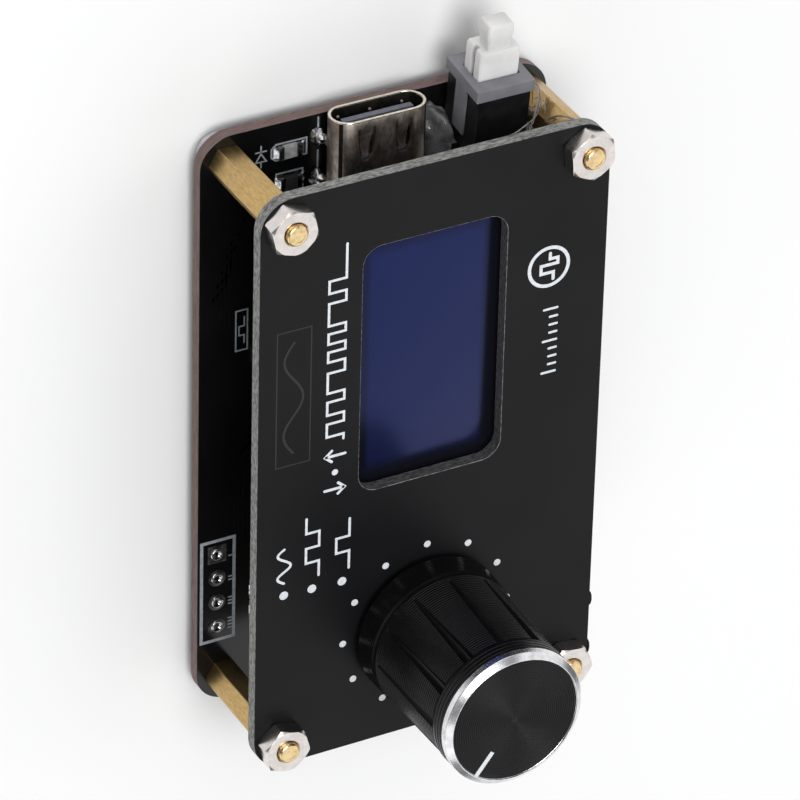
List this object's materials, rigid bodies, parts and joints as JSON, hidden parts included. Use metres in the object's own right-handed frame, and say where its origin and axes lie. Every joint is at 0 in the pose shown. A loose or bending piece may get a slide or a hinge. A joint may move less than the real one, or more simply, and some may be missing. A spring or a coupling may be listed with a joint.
{
  "type": "pocket oscilloscope",
  "caption": "Open-frame pocket oscilloscope: display panel and main board on brass standoffs, with a push-and-turn knob, USB-C socket and push switch.",
  "frame": {"origin": "middle of the object's box in X and Y, on the surface that the rear screw heads rest on", "axes": "+Z out of the display panel, +Y towards the USB socket and the push switch, +X to the right of the panel"},
  "size_m": [0.0333, 0.0656, 0.0301],
  "materials": {
    "panel_mask": "matt black solder mask on glass-fibre laminate",
    "board_mask": "glossy black solder mask on glass-fibre laminate",
    "brass": "turned brass",
    "nickel": "bright nickel plate",
    "screw_steel": "zinc-plated steel",
    "socket_steel": "dark nickel-plated steel",
    "gold": "gold-plated copper",
    "tin": "tinned copper and solder",
    "black_moulding": "moulded black plastic",
    "grey_moulding": "moulded grey plastic",
    "white_moulding": "moulded white nylon",
    "display_glass": "dark blue polarised glass",
    "zinc": "die-cast zinc",
    "knob_black": "black anodised and moulded knob",
    "knob_chrome": "diamond-cut aluminium edge",
    "pointer_white": "white painted line",
    "chip_moulding": "black epoxy moulding",
    "ceramic": "tan ceramic",
    "lamp": "milky lamp lens",
    "glue": "clear hot-melt glue",
    "spring_steel": "spring steel"
  },
  "bodies": {
    "frame": {"front_panel": "panel_mask", "main_board": "board_mask", "standoffs": "brass", "front_nuts": "nickel", "rear_screws": "screw_steel", "display_glass": "display_glass", "display_carrier": "board_mask", "display_pins": "gold", "display_pin_spacer": "black_moulding", "usb_shell": "socket_steel", "usb_tongue": "black_moulding", "usb_contacts": "gold", "usb_leads": "tin", "usb_solder": "tin", "switch_body": "black_moulding", "switch_cover": "grey_moulding", "switch_spring": "spring_steel", "switch_pins": "tin", "encoder_base": "black_moulding", "encoder_push_dome": "spring_steel", "encoder_detent_spring": "spring_steel", "encoder_frame": "zinc", "encoder_clamp": "spring_steel", "encoder_pins": "tin", "microcontroller": "chip_moulding", "small_chips": "chip_moulding", "chip_leads": "tin", "status_led": "lamp", "resistors": "chip_moulding", "capacitors": "ceramic", "component_ends": "tin", "input_socket": "black_moulding", "input_pins": "tin", "header_solder": "tin", "rear_solder": "tin", "glue_bead": "glue"},
    "rotor": {"encoder_rotor": "black_moulding"},
    "knob": {"encoder_shaft": "zinc", "knob_body": "knob_black", "knob_ring": "knob_chrome", "knob_cap": "knob_black", "knob_pointer": "pointer_white"},
    "plunger": {"switch_plunger": "white_moulding", "switch_contact": "gold"}
  },
  "joints": [
    {"name": "knob_turn", "type": "hinge", "parent": "frame", "child": "rotor", "pos_m": [0, -0.02176, 0.005], "axis": [0, 0, 1], "continuous": true},
    {"name": "knob_press", "type": "slide", "parent": "rotor", "child": "knob", "axis": [0, 0, 1], "range_m": [-0.0005, 0], "stiffness_N_per_m": 2000, "springref_m": 0.001},
    {"name": "switch_press", "type": "slide", "parent": "frame", "child": "plunger", "axis": [0, 0.9925, 0.1219], "range_m": [-0.002, 0], "stiffness_N_per_m": 500, "springref_m": 0.002, "deforming": ["switch_spring"]}
  ]
}
